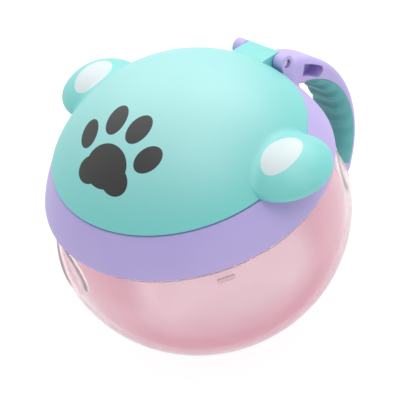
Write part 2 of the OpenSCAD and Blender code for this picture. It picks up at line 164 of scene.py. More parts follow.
def scooped(grid, extra, blend):
    """Draws a surface of revolution in where the thumb recesses are: at each height the recess's
    cylinder limits the distance from the axis to (cx - root of (R squared - (z - cz) squared)) / cos."""
    x, y, z = np.moveaxis(grid, -1, 0)
    radius, turn = np.hypot(x, y), np.arctan2(y, x)
    tilt = np.arcsin(SCOOP_RISE / BALL_R)
    away = BALL_R + SCOOP_R - SCOOP_DEPTH
    cx, cz = away * np.cos(tilt), CENTRE_Z + away * np.sin(tilt)
    drop = np.clip((SCOOP_R + extra) ** 2 - (z - cz) ** 2, 0, None)
    limit = cx - np.sqrt(drop)
    for side in (SCOOP_TURN, SCOOP_TURN + np.pi):
        across = np.cos(turn - side)
        reach = np.where(across > 0.5, limit / np.clip(across, 0.5, 1), 1.0)
        radius = np.where(reach < 1.2 * BALL_R, smaller(radius, reach, blend), radius)
    return np.stack([radius * np.cos(turn), radius * np.sin(turn), z], -1)


belly_low = np.degrees(np.arcsin(CENTRE_Z / BELLY_R))
shoulder_a = np.degrees(np.arcsin((SHOULDER_Z - CENTRE_Z) / BALL_R))
inner_low = np.degrees(np.arcsin((CENTRE_Z - FLOOR_T) / (BELLY_R - BOWL_WALL)))
inner_top_z = SHOULDER_Z - BOWL_WALL
inner_a = np.degrees(np.arcsin((inner_top_z - CENTRE_Z) / (BALL_R - BOWL_WALL)))
neck_in_r = NECK_R - BOWL_WALL
outer_ball = np.vstack([
    [[0, 0]],
    arc((BELLY_X, CENTRE_Z), BELLY_R, -belly_low + 1.5, 0, 60),
    arc((0, CENTRE_Z), BALL_R, 0.7, shoulder_a - 0.6, 30)])
outer_neck = rounded(
    [outer_ball[-1], (BALL_R * np.cos(np.radians(shoulder_a)), SHOULDER_Z), (NECK_R, SHOULDER_Z),
     (NECK_R, NECK_TOP_Z), (neck_in_r, NECK_TOP_Z), (neck_in_r, inner_top_z + 0.5 * MM)],
    [0, 0.5 * MM, 0.6 * MM, 0.5 * MM, 0.5 * MM, 0])
inner_ball = np.vstack([
    arc((0, CENTRE_Z), BALL_R - BOWL_WALL, inner_a, 0.7, 30),
    arc((BELLY_X, CENTRE_Z), BELLY_R - BOWL_WALL, 0, -inner_low, 60),
    [[0, FLOOR_T]]])
outer_path = refined(np.vstack([outer_ball, outer_neck[1:]]), 1.2 * MM)
inner_path = refined(np.vstack([outer_path[-1:], inner_ball]), 1.2 * MM)[1:]
bowl = skin("bowl_shell", "bowl", np.concatenate([scooped(around(outer_path), 0, 1.4 * MM),
                                                  scooped(around(inner_path), BOWL_WALL, 1.8 * MM)]))
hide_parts("bowl")

MARK_TURN = np.radians(-35)
MARK_LIFT = np.arcsin(13.8 * MM / BALL_R)
MARK_HALF = 2.3 * MM
MARK_R = 0.7 * MM
MARK_PROUD = 0.3 * MM
MARK_EDGE = 0.25 * MM
MARK_TAPER = 0.36
MARK_ROOT = -1 * MM
LUG_TURNS = SCOOP_TURN - np.pi / 2 + np.radians([0, 120, 240])
LUG_SPAN = np.radians(34)
LUG_H = 1.8 * MM
LUG_EDGE = 0.3 * MM
LUG_LEAD = 24 * MM
LUG_RISE = np.arctan(LUG_LEAD / (2 * np.pi * NECK_R))
NECK_LUG_Z = NECK_TOP_Z - 3 * MM
NECK_LUG_OUT = 1.3 * MM


def raised_bar():
    """The lock mark, a bar with round ends that stands on the ball. Its outline, a half circle at each
    end, is drawn in towards the top by a quarter circle, and a point (along, up, out) of it lies at
    the ball's centre + along * a + up * b + (R + out) * n, with a, b and n its own three axes."""
    t = np.linspace(0, 2 * np.pi, 49)
    t[-1] = 0
    bend = np.radians(np.linspace(90, 0, 6))
    lowered = MARK_EDGE * (1 - np.sin(bend))
    share = np.concatenate([[0], 1 - MARK_TAPER * (1 - np.cos(bend)), [1, 0]])[:, None]
    out = np.concatenate([[MARK_PROUD], MARK_PROUD - lowered, [MARK_ROOT, MARK_ROOT]])[:, None]
    along = share * (MARK_R * np.cos(t) + MARK_HALF * np.clip(20 * np.cos(t), -1, 1))
    up = share * MARK_R * np.sin(t)
    c, s = np.cos(MARK_TURN), np.sin(MARK_TURN)
    n = np.array([np.cos(MARK_LIFT) * c, np.cos(MARK_LIFT) * s, np.sin(MARK_LIFT)])
    a = np.array([-s, c, 0])
    b = np.cross(n, a)
    on_face = along[..., None] * a + up[..., None] * b
    return np.array([0, 0, CENTRE_Z]) + on_face + (BALL_R + out)[..., None] * n


def lug_grid(turn, low_r, high_r, middle_z):
    """One lug of a twist lock: a curved bar with round corners, (radius, height) carried round by its
    span and tilted about its own radius to rise along the thread. Each end closes on its middle."""
    low, high = -LUG_H / 2, LUG_H / 2
    half_way = ((low_r + high_r) / 2, low)
    section = rounded([half_way, (high_r, low), (high_r, high), (low_r, high), (low_r, low), half_way],
                      [0] + [LUG_EDGE] * 4 + [0], 4)
    middle = np.broadcast_to(section.mean(0), section.shape)
    share = np.linspace(-0.5, 0.5, 17)
    sections = np.stack([middle] + [section] * len(share) + [middle])
    a = LUG_SPAN * np.concatenate([[-0.5], share, [0.5]])[:, None]
    x, y = sections[..., 0] * np.cos(a), sections[..., 0] * np.sin(a)
    y, z = (y * np.cos(LUG_RISE) - sections[..., 1] * np.sin(LUG_RISE),
            y * np.sin(LUG_RISE) + sections[..., 1] * np.cos(LUG_RISE) + middle_z)
    c, s = np.cos(turn), np.sin(turn)
    return np.stack([x * c - y * s, x * s + y * c, z], -1)


clear_pieces = [bowl, skin("lock_mark", "bowl", raised_bar())]
for k, turn in enumerate(LUG_TURNS):
    lug = lug_grid(turn, NECK_R - BOWL_WALL / 2, NECK_R + NECK_LUG_OUT, NECK_LUG_Z)
    clear_pieces.append(skin("neck_lug_" + str(k + 1), "bowl", lug))


class Maths:
    """A shader socket that takes part in Python expressions: each operator adds its Math node."""

    def __init__(self, finish, socket):
        self.finish, self.socket = finish, socket

    def math(self, operation, *values):
        """One Math node on the values, which are sockets or plain numbers."""
        return self.finish.node("ShaderNodeMath", {"operation": operation}, dict(enumerate(values)))

    def __add__(self, other):
        return self.math("ADD", self, other)

    def __radd__(self, other):
        return self.math("ADD", other, self)

    def __sub__(self, other):
        return self.math("SUBTRACT", self, other)

    def __rsub__(self, other):
        return self.math("SUBTRACT", other, self)

    def __mul__(self, other):
        return self.math("MULTIPLY", self, other)

    def __rmul__(self, other):
        return self.math("MULTIPLY", other, self)

    def __truediv__(self, other):
        return self.math("DIVIDE", self, other)

    def __rtruediv__(self, other):
        return self.math("DIVIDE", other, self)

    def __pow__(self, other):
        return self.math("POWER", self, other)

    def __rpow__(self, other):
        return self.math("POWER", other, self)

    def __abs__(self):
        return self.math("ABSOLUTE", self)

    def clamped(self, low, high):
        """This value mapped from low..high to 0..1, smoothly and with no overshoot."""
        return self.finish.node("ShaderNodeMapRange", {"interpolation_type": "SMOOTHSTEP"},
                                {"Value": self, "From Min": low, "From Max": high})


class Finish:
    """One material under construction: its tree, its main shader, and the nodes that feed it."""

    def __init__(self, name, colour, **constants):
        self.material = bpy.data.materials.new(name)
        self.material.use_nodes = True
        self.tree = self.material.node_tree
        self.shader = self.tree.nodes["Principled BSDF"]
        self.feed(Base_Color=colour, **constants)

    def fill(self, node, values):
        """Gives a node's sockets, by name or number, what they hold: a link from another socket, a
        number, or a colour (r, g, b)."""
        for key, value in values.items():
            if isinstance(value, Maths):
                self.tree.links.new(value.socket, node.inputs[key])
            else:
                node.inputs[key].default_value = (*value, 1) if isinstance(value, tuple) else value

    def node(self, kind, settings, values, output=0):
        """Any node: its settings are set first, then its sockets get their values or links."""
        node = self.tree.nodes.new(kind)
        for key, value in settings.items():
            setattr(node, key, value)
        self.fill(node, values)
        return Maths(self, node.outputs[output])

    def feed(self, **sockets):
        """Gives the main shader's sockets, named with _ for a space, their values or links."""
        self.fill(self.shader, {key.replace("_", " "): value for key, value in sockets.items()})

    def place(self):
        """The object's own coordinates, in metres."""
        return self.node("ShaderNodeTexCoord", {}, {}, "Object")

    def part(self, vector, k):
        """One of a vector's three parts."""
        return self.node("ShaderNodeSeparateXYZ", {}, {0: vector}, k)

    def mix(self, factor, first, second):
        """A colour between two, which are sockets or (r, g, b)."""
        return self.node("ShaderNodeMix", {"data_type": "RGBA"}, {0: factor, 6: first, 7: second}, 2)

    def noise(self, vector, scale, detail=3.0):
        """Cloudy noise from 0 to 1 at this many cells to the metre."""
        return self.node("ShaderNodeTexNoise", {}, {"Vector": vector, "Scale": scale, "Detail": detail,
                                                    "Roughness": 0.5})

    def rough(self, vector, scale, spread, low):
        """Roughness that varies in clouds from the low value up, by the spread."""
        self.feed(Roughness=self.noise(vector, scale) * spread + low)

    def grain(self, vector, scale, height):
        """A fine grain on the surface, as high as this at the most."""
        self.feed(Normal=self.node("ShaderNodeBump", {}, {"Height": self.noise(vector, scale),
                                                          "Distance": height, "Strength": 1.0}))


def paint(*rgb):
    """A colour as the eye sees it, 0 to 255, turned to the shader's own scale: ((c + 0.055) / 1.055) to
    the power 2.4."""
    c = np.array(rgb) / 255
    return tuple(np.where(c < 0.04045, c / 12.92, ((c + 0.055) / 1.055) ** 2.4))


def dress(piece, finish):
    """Gives a piece this finish in every slot."""
    piece.data.materials.clear()
    piece.data.materials.append(finish.material)


FOOT_FADE = (3 * MM, 10 * MM)
PAINTED_LIGHT_FADE = (22 * MM, 48 * MM)

pink = Finish("pink_clear_plastic", paint(250, 214, 222), Roughness=0.06, IOR=1.45, Transmission_Weight=0.85)
where = pink.place()
height = pink.part(where, 2)
cloud = pink.noise(where, 38.0, 2.0).clamped(0.35, 0.7)
# Painted shade: from 3 to 10 mm up, the clear pink turns a deeper rose on the lower ball. Right at the foot
# it stays pale.
low_painted_shade = pink.mix(height.clamped(*FOOT_FADE), paint(252, 224, 233), paint(236, 174, 193))
# Painted light: from 22 to 48 mm up, it turns paler towards the neck as light through the upper wall, with
# random clouds in it.
painted_light_rise = height.clamped(*PAINTED_LIGHT_FADE) + cloud * 0.1 - 0.05
pink.feed(Base_Color=pink.mix(painted_light_rise, low_painted_shade, paint(255, 240, 244)))
for piece in clear_pieces:
    dress(piece, pink)


# --- Seal ---------------------------------------------------------------------------------
# The seal is a flat ring of milky silicone that the collar presses onto the neck.

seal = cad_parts["bowl_seal"]
silicone = Finish("milky_silicone", paint(236, 236, 240), Roughness=0.55, Subsurface_Weight=0.25,
                  Subsurface_Scale=0.004)
where = silicone.place()
silicone.rough(where, 400.0, 0.15, 0.48)
silicone.grain(where, 1500.0, 0.02 * MM)
dress(seal, silicone)


# --- Collar -------------------------------------------------------------------------------
# The lilac collar is moulded in one with the handle. Its outside follows the ball 1.2 mm proud,
# and inside it has a skirt with lugs, and the wall and ledge of the mouth.

COLLAR_R = 54.2 * MM
COLLAR_WALL = 2 * MM
COLLAR_LOW_Z = SHOULDER_Z + 0.3 * MM
COLLAR_TOP_Z = CENTRE_Z + 31.3 * MM
DECK_T = 3 * MM
MOUTH_R = 37.5 * MM
MOUTH_WALL = 1.6 * MM
MOUTH_DEPTH = 5.5 * MM
LEDGE_W = 2 * MM
LEDGE_T = 1.4 * MM
SKIRT_IN_R = 44.9 * MM
SKIRT_T = 1.9 * MM
LUG_GAP = 0.4 * MM
COLLAR_LUG_Z = NECK_LUG_Z - LUG_H - LUG_GAP


def sphere_r(radius, z, centre_z):
    """Distance from the axis of a sphere's point at the height z: the root of r squared less z squared."""
    return (radius ** 2 - (z - centre_z) ** 2) ** 0.5


def sphere_z(radius, r, centre_z):
    """Height of a sphere's upper point at the distance r from the axis."""
    return centre_z + (radius ** 2 - r ** 2) ** 0.5


deck_z = COLLAR_TOP_Z - DECK_T
ledge_z = COLLAR_TOP_Z - MOUTH_DEPTH
ledge_r = MOUTH_R - LEDGE_W
collar_in_r = COLLAR_R - COLLAR_WALL
low_a = np.degrees(np.arcsin((COLLAR_LOW_Z - CENTRE_Z) / COLLAR_R))
top_a = np.degrees(np.arcsin((COLLAR_TOP_Z - CENTRE_Z) / COLLAR_R))
skirt_low_z = COLLAR_LOW_Z + 0.5 * MM
skirt_out_r = SKIRT_IN_R + SKIRT_T
inner_deck_a = np.degrees(np.arcsin((deck_z - CENTRE_Z) / collar_in_r))
skirt_in_a = np.degrees(np.arccos(SKIRT_IN_R / collar_in_r))
skirt_out_a = np.degrees(np.arccos(skirt_out_r / collar_in_r))
inner_low_a = np.degrees(np.arcsin((COLLAR_LOW_Z - CENTRE_Z) / collar_in_r))
outer_band = arc((0, CENTRE_Z), COLLAR_R, low_a + 0.8, top_a - 0.9, 30)
over_deck = rounded(
    [outer_band[-1], (sphere_r(COLLAR_R, COLLAR_TOP_Z, CENTRE_Z), COLLAR_TOP_Z), (MOUTH_R, COLLAR_TOP_Z),
     (MOUTH_R, ledge_z), (ledge_r, ledge_z), (ledge_r, ledge_z - LEDGE_T),
     (MOUTH_R + MOUTH_WALL, ledge_z - LEDGE_T), (MOUTH_R + MOUTH_WALL, deck_z),
     (sphere_r(collar_in_r, deck_z, CENTRE_Z), deck_z)],
    [0, 0.7 * MM, 0.6 * MM, 0.2 * MM, 0.4 * MM, 0.4 * MM, 0.4 * MM, 0.4 * MM, 0])
under_deck = np.vstack([
    arc((0, CENTRE_Z), collar_in_r, inner_deck_a, skirt_in_a, 4),
    rounded([(SKIRT_IN_R, sphere_z(collar_in_r, SKIRT_IN_R, CENTRE_Z) - 0.1 * MM),
             (SKIRT_IN_R, skirt_low_z), (skirt_out_r, skirt_low_z),
             (skirt_out_r, sphere_z(collar_in_r, skirt_out_r, CENTRE_Z) - 0.1 * MM)],
            [0, 0.4 * MM, 0.4 * MM, 0]),
    arc((0, CENTRE_Z), collar_in_r, skirt_out_a, inner_low_a + 0.5, 6),
    rounded([arc((0, CENTRE_Z), collar_in_r, inner_low_a + 0.4, inner_low_a, 2)[0],
             (sphere_r(collar_in_r, COLLAR_LOW_Z, CENTRE_Z), COLLAR_LOW_Z),
             (sphere_r(COLLAR_R, COLLAR_LOW_Z, CENTRE_Z), COLLAR_LOW_Z), outer_band[0]],
            [0, 0.2 * MM, 0.5 * MM, 0])])
collar_path = np.vstack([outer_band, over_deck[1:], under_deck])
collar = skin("collar_shell", "top", around(refined(collar_path, 1.5 * MM)))
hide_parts("collar")

lilac = Finish("lilac_plastic", paint(181, 165, 223), Roughness=0.5, Specular_IOR_Level=1.0)
where = lilac.place()
cloud = lilac.noise(where, 30.0).clamped(0.3, 0.7)
lilac.feed(Base_Color=lilac.mix(cloud, paint(184, 169, 225), paint(178, 162, 221)))
lilac.rough(where, 220.0, 0.08, 0.46)
lilac.grain(where, 900.0, 0.012 * MM)
dress(collar, lilac)
for k, turn in enumerate(LUG_TURNS):
    lug = lug_grid(turn, NECK_R + LUG_GAP, SKIRT_IN_R + SKIRT_T / 2, COLLAR_LUG_Z)
    lug = skin("collar_lug_" + str(k + 1), "top", lug)
    dress(lug, lilac)


# --- Lid ----------------------------------------------------------------------------------
# The lid is one teal moulding: a domed shell with a lip below its edge, notched at the back for
# the hinge posts. Its edge stands just over the collar's. It shares its finish with the ears.

LID_R = 52.6 * MM
LID_WALL = 2 * MM
LID_EDGE_R = 44.7 * MM
LID_Z = COLLAR_TOP_Z + 0.3 * MM
DOME_Z = LID_Z - (LID_R ** 2 - LID_EDGE_R ** 2) ** 0.5
LIP_R = MOUTH_R - 0.6 * MM
LIP_T = 1.7 * MM
LIP_DROP = 2 * MM
PIN_Y = LID_EDGE_R + 0.8 * MM
PIN_Z = LID_Z + 3.2 * MM
KNUCKLE_R = 3 * MM
NOTCH_Y = PIN_Y - KNUCKLE_R - 1.4 * MM
NOTCH_X = 12.05 * MM

lid_in_r = LID_R - LID_WALL
edge_a = np.degrees(np.arcsin((LID_Z - DOME_Z) / LID_R))
hollow_edge_r = sphere_r(lid_in_r, LID_Z, DOME_Z)
lip_top_z = sphere_z(lid_in_r, LIP_R, DOME_Z)
lip_in_r = LIP_R - LIP_T
lid_path = np.vstack([
    arc((0, DOME_Z), LID_R, 90, edge_a + 1.2, 90),
    rounded([arc((0, DOME_Z), LID_R, edge_a + 1.2, edge_a, 2)[0], (LID_EDGE_R, LID_Z),
             (hollow_edge_r, LID_Z), arc((0, DOME_Z), lid_in_r, edge_a + 2.5, edge_a, 2)[0]],
            [0, 0.7 * MM, 0.3 * MM, 0])[1:],
    arc((0, DOME_Z), lid_in_r, edge_a + 3, np.degrees(np.arccos(LIP_R / lid_in_r)), 6),
    rounded([(LIP_R, lip_top_z), (LIP_R, LID_Z - LIP_DROP), (lip_in_r, LID_Z - LIP_DROP),
             (lip_in_r, sphere_z(lid_in_r, lip_in_r, DOME_Z))],
            [0, 0.5 * MM, 0.5 * MM, 0])[1:],
    arc((0, DOME_Z), lid_in_r, np.degrees(np.arccos(lip_in_r / lid_in_r)) + 0.5, 90, 60)])
lid_path[0, 0] = lid_path[-1, 0] = 0


def notched(path, turns):
    """The path carried round Z, with extra columns at the notch's two corners. Between the corners
    what would stand past the notch's wall is set back onto it, at y = NOTCH_Y."""
    t = np.linspace(0, 2 * np.pi, turns + 1)
    corner = np.arctan2(NOTCH_Y, NOTCH_X)
    far = np.arctan2(sphere_r(LID_EDGE_R, NOTCH_X, 0), NOTCH_X)
    extra = [a + hair for a in (corner, far, np.pi - far, np.pi - corner) for hair in (-1e-5, 1e-5)]
    t = np.sort(np.concatenate([t, extra]))
    t[-1] = 0
    r, z = path[:, 0][:, None], path[:, 1][:, None]
    x, y = r * np.cos(t), r * np.sin(t)
    past = (y > NOTCH_Y) & (np.abs(x) * NOTCH_Y < y * NOTCH_X)
    shrink = np.where(past, NOTCH_Y / np.where(past, y, 1), 1)
    return np.stack([x * shrink, y * shrink, z + 0 * t], -1)


lid = skin("lid_dome", "lid", notched(refined(lid_path, 1.5 * MM), 320))
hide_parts("lid")


# --- Ears ---------------------------------------------------------------------------------
# Two round lobes moulded in one with the lid. Each has an upright rim and a domed top, which
# runs into the lid's dome in a soft hollow, and is hollow below with an even wall. The finish of
# lid and ears has two prints, a charcoal paw in front and a pale oval on each ear, and a painted
# sheen that turns the teal paler towards the top.

EAR_X = LID_EDGE_R - 1.9 * MM
EAR_Y = 6.5 * MM
EAR_R = 15 * MM
EAR_LOW_Z = LID_Z + 0.3 * MM
EAR_RIM = 2 * MM
EAR_RISE = 7.6 * MM
EAR_EDGE = 2.6 * MM
EAR_WALL = 2 * MM
EAR_BLEND = 3 * MM
CAP_R = (EAR_R ** 2 + EAR_RISE ** 2) / (2 * EAR_RISE)
CAP_Z = EAR_LOW_Z + EAR_RIM + EAR_RISE - CAP_R


def lobe_path(inset):
    """A lobe's profile (distance from its middle, height), so far inside its outer face: the arc of its
    domed top, then the arc of its edge, which touches both the top's circle and the upright rim."""
    ball, edge, r = CAP_R - inset, EAR_EDGE - inset, EAR_R - inset
    rise = ((ball - edge) ** 2 - (r - edge) ** 2) ** 0.5
    meet = np.degrees(np.arctan2(rise, r - edge))
    top = arc((0, CAP_Z), ball, 90, meet, 60)
    top[0, 0] = 0
    return np.vstack([top, arc((r - edge, CAP_Z + rise), edge, meet, 0, 14)[1:]])


def ear_grid(side):
    """The lobe's profile carried round its middle. Its outer top is the larger of its own height and a
    hair above the dome's, with a round change-over. What else lies inside the dome is moved out along
    the dome's radius to the middle of its wall."""
    outside, inside = lobe_path(0), lobe_path(EAR_WALL)
    rim = rounded([outside[-1], (EAR_R, EAR_LOW_Z), (EAR_R - EAR_WALL, EAR_LOW_Z), inside[-1]],
                  [0, 0.5 * MM, 0.5 * MM, 0])
    path = np.vstack([outside, rim[1:-1], inside[::-1]])
    t = np.linspace(0, 2 * np.pi, 161)
    t[-1] = 0
    x = EAR_X + path[:, :1] * np.cos(t)
    y = EAR_Y + path[:, :1] * np.sin(t)
    z = path[:, 1:] + 0 * t
    dome = DOME_Z + np.sqrt(np.clip(LID_R ** 2 - x ** 2 - y ** 2, 0, None))
    is_top = np.arange(len(path))[:, None] < len(outside)
    away = np.sqrt(x ** 2 + y ** 2 + (z - DOME_Z) ** 2)
    push = np.where(is_top, 1, np.maximum(1, (LID_R - LID_WALL / 2) / away))
    z = np.where(is_top, larger(z, dome + 0.02 * MM, EAR_BLEND), DOME_Z + (z - DOME_Z) * push)
    return np.stack([side * x * push, y * push, z], -1)


ears = []
for side, name in ((1, "ear_right"), (-1, "ear_left")):
    ears.append(skin(name, "lid", ear_grid(side)))

PAW_RISE = np.radians(60.7)
PAW_PADS = (((0, -6), (8.6, 7.6), 0),
            ((-5.4, -9), (5.6, 4.8), 20), ((5.4, -9), (5.6, 4.8), -20),
            ((-13.4, 1.6), (3.8, 5.4), 24), ((13.4, 1.6), (3.8, 5.4), -24),
            ((-5, 9.2), (3.9, 5.6), 8), ((5, 9.2), (3.9, 5.6), -8))
EAR_OVAL = ((43.6, 5), (5.8, 8.4), 0)
PRINT_INSET = 0.8 * MM
SHEEN_FADE = (70 * MM, 104 * MM)


def spot(u, v, middle, half, turn):
    """1 inside an oval and 0 outside it: its middle and half axes in mm, and its turn in degrees. On its
    edge the squares of both coordinates, each over its half axis, add up to 1."""
    c, s = np.cos(np.radians(turn)), np.sin(np.radians(turn))
    u, v = u - middle[0] * MM, v - middle[1] * MM
    a, b = (u * c + v * s) / (half[0] * MM), (v * c - u * s) / (half[1] * MM)
    return (1 - (a * a + b * b)).clamped(0, 0.06)


def beyond(x, y, z, radius):
    """1 outside a ball about the origin and 0 inside it: the root of x squared + y squared + z squared
    less the radius, so that a print keeps to the outer face of a wall."""
    return ((x * x + y * y + z * z) ** 0.5 - radius).clamped(0, 0.2 * MM)


teal = Finish("teal_plastic", paint(130, 208, 204), Roughness=0.5, Specular_IOR_Level=1.0)
where = teal.place()
lid_x, lid_y, lid_z = (teal.part(where, k) for k in range(3))
back = lid_y + np.cos(PAW_RISE) * LID_R
up = lid_z - DOME_Z - np.sin(PAW_RISE) * LID_R
along_dome = back * np.sin(PAW_RISE) + up * np.cos(PAW_RISE)
paw = spot(lid_x, along_dome, *PAW_PADS[0])
for pad in PAW_PADS[1:]:
    paw = paw.math("MAXIMUM", paw, spot(lid_x, along_dome, *pad))
paw = paw * beyond(lid_x, lid_y, lid_z - DOME_Z, LID_R - PRINT_INSET)
ear_x = abs(lid_x)
oval = spot(ear_x, lid_y, *EAR_OVAL)
oval = oval * beyond(ear_x - EAR_X, lid_y - EAR_Y, lid_z - CAP_Z, CAP_R - PRINT_INSET)
# Painted sheen: from 70 to 104 mm up, the teal turns paler towards the tops of dome and ears as the overhead
# light's sheen, with random clouds in it.
painted_sheen = lid_z.clamped(*SHEEN_FADE) + teal.noise(where, 26.0) * 0.1 - 0.05
teal_with_painted_sheen = teal.mix(painted_sheen, paint(108, 205, 200), paint(154, 211, 209))
teal.feed(Base_Color=teal.mix(oval, teal.mix(paw, teal_with_painted_sheen, paint(9, 9, 10)), paint(206, 217, 219)))
teal.rough(where, 220.0, 0.08, 0.46)
teal.grain(where, 900.0, 0.012 * MM)
for piece in (lid, *ears):
    dress(piece, teal)


# --- Hinge tab ----------------------------------------------------------------------------
# A plate 14 mm wide, moulded in one with the lid, runs back from the dome to the knuckle that
# turns on the pin. It is drawn from the side and carried across.

TAB_W = 14 * MM


def carried_across(path, middle, low_x, high_x, edge, hole=(0, 0)):
    """A closed outline of (y, z) carried along X. Near both ends it draws in towards the middle by the
    quarter circle edge - root of (edge squared - d squared), and the ends close on the middle. At the
    far end there may be a round hole: its radius, and its depth."""
    bend = np.radians(np.linspace(0, 90, 5))
    inset = edge * (1 - np.sin(bend))
    offset = edge * (1 - np.cos(bend)) * np.sign(high_x - low_x)
    x = np.concatenate([low_x + offset, high_x - offset[::-1]])
    draw = np.concatenate([inset, inset[::-1]])
    out = path - middle
    length = np.linalg.norm(out, axis=1, keepdims=True)
    centre = np.repeat(middle[None], len(path), 0)
    circle = middle + out / length * hole[0]
    rings = [centre] + [middle + out * (length - d) / length for d in draw] + [circle, circle, centre]
    sunk = x[-1] - np.sign(high_x - low_x) * hole[1]
    xs = np.concatenate([[x[0]], x, [x[-1], sunk, sunk]])
    return np.stack([np.column_stack([np.full(len(path), xs[i]), rings[i]]) for i in range(len(xs))])


tab_path = np.vstack([
    arc((PIN_Y, PIN_Z), KNUCKLE_R, 92, -90, 24),
    rounded([(PIN_Y, PIN_Z - KNUCKLE_R), (PIN_Y - 4 * MM, PIN_Z - KNUCKLE_R),
             (PIN_Y - 12 * MM, PIN_Z + KNUCKLE_R - 1 * MM), (PIN_Y - 9 * MM, PIN_Z + KNUCKLE_R + 1.6 * MM),
             (PIN_Y - 5.6 * MM, PIN_Z + KNUCKLE_R + 1.3 * MM), (PIN_Y, PIN_Z + KNUCKLE_R)],
            [0, 0.6 * MM, 0.3 * MM, 0.8 * MM, 3 * MM, 0])[1:]])
tab_path = refined(np.vstack([tab_path, tab_path[:1]]), 0.8 * MM)
tab = skin("lid_hinge_tab", "lid", carried_across(
    tab_path, np.array([PIN_Y - 5 * MM, PIN_Z + 0.6 * MM]), -TAB_W / 2, TAB_W / 2, 0.4 * MM))
dress(tab, teal)


# --- Handle -------------------------------------------------------------------------------
# The handle is a curved bar, moulded in one with the collar. It leaves the collar under the
# hinge, arches out and down beside the ball, and ends free above the table.

HANDLE_R = 43.4 * MM
HANDLE_IN_R = HANDLE_R - 9.2 * MM
HANDLE_HALF = 7.5 * MM
HANDLE_EDGE = 3 * MM
ARC_Y = BALL_R + 24.6 * MM - HANDLE_R
ARC_Z = CENTRE_Z - 10.4 * MM
HANDLE_END = -37
ROOT_A = 82
GRIP_OUT_R = 32.6 * MM
GRIP_OUT_Y = ARC_Y + 7.6 * MM
GRIP_OUT_Z = ARC_Z - 1.7 * MM
GRIP_LOW_A = -34
GRIP_HIGH_A = 53
POST_IN_X = TAB_W / 2 + 0.25 * MM
POST_OUT_X = POST_IN_X + 4.3 * MM
POST_BLEND_R = 4 * MM
POST_ROOT = 14 * MM
PIN_HOLE_R = 1.6 * MM
PIN_HOLE = 1.4 * MM
POCKET_MID_R = HANDLE_R - 4.2 * MM
POCKET_H = 4.3 * MM
POCKET_LOW_A = 43
POCKET_HIGH_A = 56.5
POCKET_DEPTH = 5.6 * MM


def to_boundary(a):
    """Distance from the handle's centre, along the angle a, to the circle where grip and spine meet:
    the part of that circle's own centre along the ray, plus the root of (R squared - c squared + that
    part squared)."""
    dy, dz = GRIP_OUT_Y - ARC_Y, GRIP_OUT_Z - ARC_Z
    along = dy * np.cos(a) + dz * np.sin(a)
    return along + np.sqrt(GRIP_OUT_R ** 2 - (dy ** 2 + dz ** 2) + along ** 2)


def even(low, high, step):
    """Numbers from low to high, no further apart than the step."""
    return np.linspace(low, high, int(np.ceil(abs(high - low) / step)) + 1)


def half_ring(r_out, r_in, half, edge_out, edge_in, lanes):
    """Half of the rings across a curved bar, as (across, distance from the bar's centre) for each ring.
    From the middle of the outer face a ring runs round a quarter circle, down the flat side in so many
    even lanes, and round the inner edge to the middle of the inner face."""
    out_bend = np.radians(np.linspace(0, 90, 25))[1:]
    in_bend = np.radians(np.linspace(0, 90, 9))[1:]
    r_out, r_in, edge_in = (np.reshape(v, (-1, 1)) for v in (r_out, r_in, edge_in))
    top, low = r_out - edge_out, r_in + edge_in
    face, under = np.linspace(0, 1, 5), np.linspace(1, 0, 6)[1:]
    lane = np.linspace(0, 1, lanes + 1)[1:]
    x = np.hstack([(half - edge_out) * face + 0 * top, half - edge_out * (1 - np.sin(out_bend)) + 0 * top,
                   half + 0 * lane + 0 * top, half - edge_in * (1 - np.cos(in_bend)),
                   (half - edge_in) * under])
    r = np.hstack([r_out + 0 * face, r_out - edge_out * (1 - np.cos(out_bend)), top + (low - top) * lane,
                   r_in + edge_in * (1 - np.sin(in_bend)), r_in + 0 * under])
    return x, r


def whole_bar(name, body, x, r, a, shape_up):
    """A closed skin from half rings: the other half is their mirror image, each end closes on the middle
    of its ring, and shape_up may move the points, which it gets as (x, y, z) arrays."""
    x, r = np.hstack([x, -x[:, -2::-1]]), np.hstack([r, r[:, -2::-1]])
    a = np.reshape(a, (-1, 1)) + 0 * r
    x, y, z = shape_up(x, ARC_Y + r * np.cos(a), ARC_Z + r * np.sin(a))
    rings = np.stack([x, y, z], -1)
    ends = [np.broadcast_to((rings[k].min(0) + rings[k].max(0)) / 2, rings[k].shape)[None] for k in (0, -1)]
    return skin(name, body, np.concatenate([ends[0], rings, ends[1]]))


def rest_on_collar(x, y, z):
    """Moves what lies inside the collar out along the ball's radius into the collar's outer wall."""
    away = np.sqrt(x ** 2 + y ** 2 + (z - CENTRE_Z) ** 2)
    push = np.maximum(1, (COLLAR_R - 0.8 * MM) / away)
    return x * push, y * push, CENTRE_Z + (z - CENTRE_Z) * push


